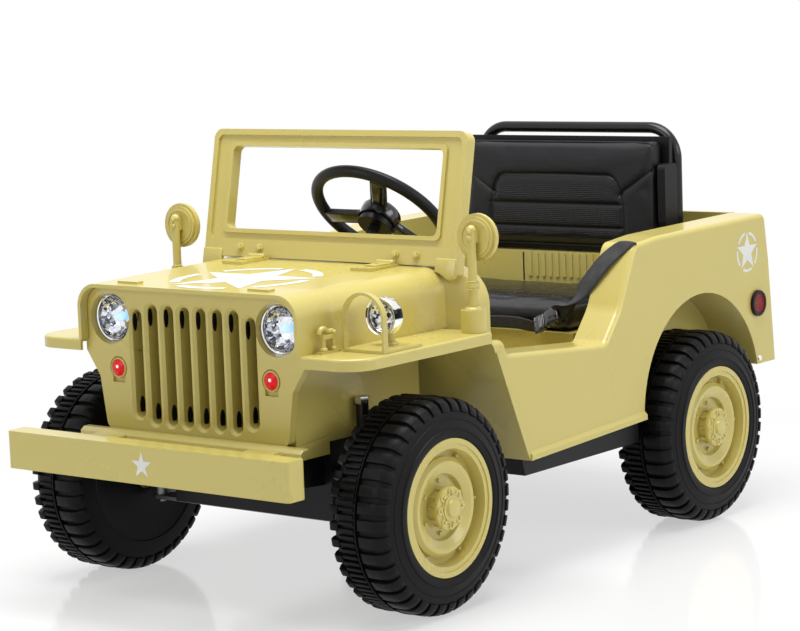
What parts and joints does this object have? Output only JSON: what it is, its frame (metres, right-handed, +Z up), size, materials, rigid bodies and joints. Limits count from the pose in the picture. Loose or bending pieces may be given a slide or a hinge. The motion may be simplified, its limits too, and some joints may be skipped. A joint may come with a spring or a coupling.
{
  "type": "children's ride-on army-style field car",
  "caption": "Open battery ride-on field car for a child: tub body with bench seat, folding-style windscreen frame, slotted grille, roll bar and steered front wheels.",
  "frame": {"origin": "on the ground under the middle of the bounding box", "axes": "+X forward, +Y to the car's left, +Z up"},
  "size_m": [1.302, 0.746, 0.713],
  "materials": {
    "sand_plastic": "satin moulded plastic",
    "black_plastic": "matt moulded plastic",
    "steel": "zinc plated steel",
    "black_metal": "black powder coat",
    "tyre_rubber": "matt black",
    "black_leather": "soft synthetic leather",
    "chrome_plastic": "bright plated",
    "clear_lens": "clear",
    "red_lens": "clear red plastic"
  },
  "bodies": {
    "root": {"chassis": "black_plastic", "rear_axle": "steel", "front_axle": "steel", "struts": "black_metal", "drive_units": "black_plastic", "column_sleeve": "black_plastic", "body_side_left": "sand_plastic", "body_side_right": "sand_plastic", "tailgate": "sand_plastic", "floor_pan": "sand_plastic", "bed_floor": "sand_plastic", "seat_box": "sand_plastic", "battery": "black_plastic", "seat_cushion": "black_leather", "bulkhead": "sand_plastic", "backrest_shell": "black_plastic", "seat_backrest": "black_leather", "roll_bar": "black_metal", "fender_left": "sand_plastic", "fender_right": "sand_plastic", "engine_bay": "sand_plastic", "hood": "sand_plastic", "grille": "sand_plastic", "headlamps": "chrome_plastic", "headlamp_lenses": "clear_lens", "marker_lamps": "red_lens", "cowl": "sand_plastic", "dashboard": "sand_plastic", "windscreen_frame": "sand_plastic", "bumper": "sand_plastic", "mirror_left": "sand_plastic", "mirror_right": "sand_plastic", "spot_lamp": "chrome_plastic", "spot_lens": "clear_lens", "spot_guard": "sand_plastic", "reflectors": "red_lens", "pedal": "black_plastic"},
    "knuckle_left": {"knuckle_left": "steel"},
    "knuckle_right": {"knuckle_right": "steel"},
    "tie_rod": {"tie_rod": "steel"},
    "steering_wheel": {"steering_wheel": "black_plastic"},
    "wheel_front_left": {"tyre_front_left": "tyre_rubber", "rim_front_left": "sand_plastic"},
    "wheel_front_right": {"tyre_front_right": "tyre_rubber", "rim_front_right": "sand_plastic"},
    "wheel_rear_left": {"tyre_rear_left": "tyre_rubber", "rim_rear_left": "sand_plastic"},
    "wheel_rear_right": {"tyre_rear_right": "tyre_rubber", "rim_rear_right": "sand_plastic"}
  },
  "joints": [
    {"name": "steer_left", "type": "hinge", "parent": "root", "child": "knuckle_left", "pos_m": [0.374, 0.228, 0.165], "axis": [0, 0, 1], "range_deg": [-24, 24]},
    {"name": "steer_right", "type": "hinge", "parent": "root", "child": "knuckle_right", "pos_m": [0.374, -0.228, 0.165], "axis": [0, 0, 1], "range_deg": [-24, 24]},
    {"name": "tie_rod_pivot", "type": "hinge", "parent": "knuckle_left", "child": "tie_rod", "pos_m": [0.312, 0.228, 0.12], "axis": [0, 0, 1], "range_deg": [-24, 24]},
    {"name": "steering_wheel_turn", "type": "hinge", "parent": "root", "child": "steering_wheel", "pos_m": [0.06, 0, 0.5645], "axis": [-0.6884, 0, 0.7254], "range_deg": [-60, 60]},
    {"name": "spin_front_left", "type": "hinge", "parent": "knuckle_left", "child": "wheel_front_left", "pos_m": [0.374, 0.313, 0.165], "axis": [0, 1, 0], "continuous": true},
    {"name": "spin_front_right", "type": "hinge", "parent": "knuckle_right", "child": "wheel_front_right", "pos_m": [0.374, -0.313, 0.165], "axis": [0, 1, 0], "continuous": true},
    {"name": "spin_rear_left", "type": "hinge", "parent": "root", "child": "wheel_rear_left", "pos_m": [-0.392, 0.313, 0.165], "axis": [0, 1, 0], "continuous": true},
    {"name": "spin_rear_right", "type": "hinge", "parent": "root", "child": "wheel_rear_right", "pos_m": [-0.392, -0.313, 0.165], "axis": [0, 1, 0], "continuous": true}
  ],
  "couplings": [
    {"joint": "steer_right", "follows": "steer_left", "ratio": 1},
    {"joint": "tie_rod_pivot", "follows": "steer_left", "ratio": -1},
    {"joint": "steering_wheel_turn", "follows": "steer_left", "ratio": 2.5}
  ]
}
